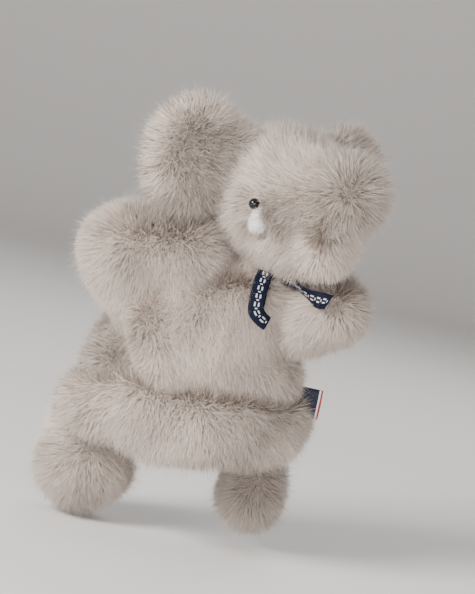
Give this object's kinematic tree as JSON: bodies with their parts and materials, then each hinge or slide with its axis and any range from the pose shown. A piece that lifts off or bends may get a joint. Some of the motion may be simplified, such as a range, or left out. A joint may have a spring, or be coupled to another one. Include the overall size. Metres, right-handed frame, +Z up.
{
  "type": "hand puppet",
  "caption": "Plush elephant hand puppet: a fur glove with a lined hand opening, turning head, lifting trunk, flapping ears, swinging arms and hanging feet, with a ribbon at the neck.",
  "frame": {"origin": "middle of the hand opening, at the height where the body glove's fabric ends inside the turned-up cuff", "axes": "+Z up from the hand opening to the head, the puppet faces -Y, and +X is the puppet's left"},
  "size_m": [0.1855, 0.1561, 0.276],
  "materials": {
    "fur": "long-pile plush, mid grey-beige with pale tips",
    "lining": "plain woven polyester, satin",
    "filling": "loose polyester fibre, matt white",
    "eye_bead": "high-gloss black",
    "washer": "moulded white",
    "tusk_plush": "short-pile plush, off-white",
    "ribbon": "woven satin ribbon, navy with a white dash pattern",
    "label": "woven tape, navy with a white and red edge"
  },
  "bodies": {
    "glove": {"body_front": "fur", "body_back": "fur", "body_lining_front": "lining", "body_lining_back": "lining", "cuff_front": "fur", "cuff_back": "fur", "side_label": "label", "ribbon_loop": "ribbon", "ribbon_knot": "ribbon"},
    "neck": {"finger_sleeve": "lining"},
    "head": {"head_side_left": "fur", "head_side_right": "fur", "head_gusset": "fur", "chin_gusset": "fur", "head_filling": "filling", "head_pocket": "lining", "eye_left": "eye_bead", "eye_right": "eye_bead", "eye_washer_left": "washer", "eye_washer_right": "washer", "tusk_left": "tusk_plush", "tusk_right": "tusk_plush"},
    "trunk": {"trunk_upper": "fur", "trunk_lower": "fur", "trunk_filling": "filling"},
    "ear_right": {"ear_right_front": "fur", "ear_right_back": "fur", "ear_right_filling": "filling"},
    "ear_left": {"ear_left_front": "fur", "ear_left_back": "fur", "ear_left_filling": "filling"},
    "arm_right": {"arm_right_front": "fur", "arm_right_back": "fur", "arm_right_filling": "filling", "arm_right_pocket": "lining"},
    "arm_left": {"arm_left_front": "fur", "arm_left_back": "fur", "arm_left_filling": "filling", "arm_left_pocket": "lining"},
    "foot_right": {"foot_right_front": "fur", "foot_right_back": "fur", "foot_right_filling": "filling"},
    "foot_left": {"foot_left_front": "fur", "foot_left_back": "fur", "foot_left_filling": "filling"},
    "tail_hanging": {"ribbon_tail_hanging": "ribbon"},
    "tail_side": {"ribbon_tail_side": "ribbon"}
  },
  "joints": [
    {"name": "head_turn", "type": "hinge", "parent": "glove", "child": "neck", "pos_m": [0.03, -0.005, 0.119], "axis": [0, 0, 1], "range_deg": [-60, 8]},
    {"name": "head_nod", "type": "hinge", "parent": "neck", "child": "head", "pos_m": [0.03, -0.005, 0.13], "axis": [0.809, 0.5878, 0], "range_deg": [-18, 4]},
    {"name": "trunk_lift", "type": "hinge", "parent": "head", "child": "trunk", "pos_m": [0.05527, -0.03979, 0.172], "axis": [0.809, 0.5878, 0], "range_deg": [-15, 7]},
    {"name": "ear_right_flap", "type": "hinge", "parent": "head", "child": "ear_right", "pos_m": [-0.01341, -0.02166, 0.166], "axis": [0, 0, 1], "range_deg": [-22, 22]},
    {"name": "ear_left_flap", "type": "hinge", "parent": "head", "child": "ear_left", "pos_m": [0.05926, 0.03114, 0.166], "axis": [0, 0, 1], "range_deg": [-22, 22]},
    {"name": "arm_right_swing", "type": "hinge", "parent": "glove", "child": "arm_right", "pos_m": [-0.022, -0.003, 0.108], "axis": [0, 0, 1], "range_deg": [-12, 25]},
    {"name": "arm_left_swing", "type": "hinge", "parent": "glove", "child": "arm_left", "pos_m": [0.057, -0.012, 0.088], "axis": [0, 0, 1], "range_deg": [-5, 20]},
    {"name": "foot_right_swing", "type": "hinge", "parent": "glove", "child": "foot_right", "pos_m": [-0.0595, 0.012, -0.015], "axis": [1, 0, 0], "range_deg": [-20, 20]},
    {"name": "foot_left_swing", "type": "hinge", "parent": "glove", "child": "foot_left", "pos_m": [0.052, 0.02, -0.015], "axis": [1, 0, 0], "range_deg": [-20, 20]},
    {"name": "ribbon_hanging_lift", "type": "hinge", "parent": "glove", "child": "tail_hanging", "pos_m": [0.031, -0.032, 0.117], "axis": [1, 0, 0], "range_deg": [-40, 0]},
    {"name": "ribbon_side_lift", "type": "hinge", "parent": "glove", "child": "tail_side", "pos_m": [0.0425, -0.031, 0.117], "axis": [0, 0, 1], "range_deg": [-30, 0]}
  ]
}
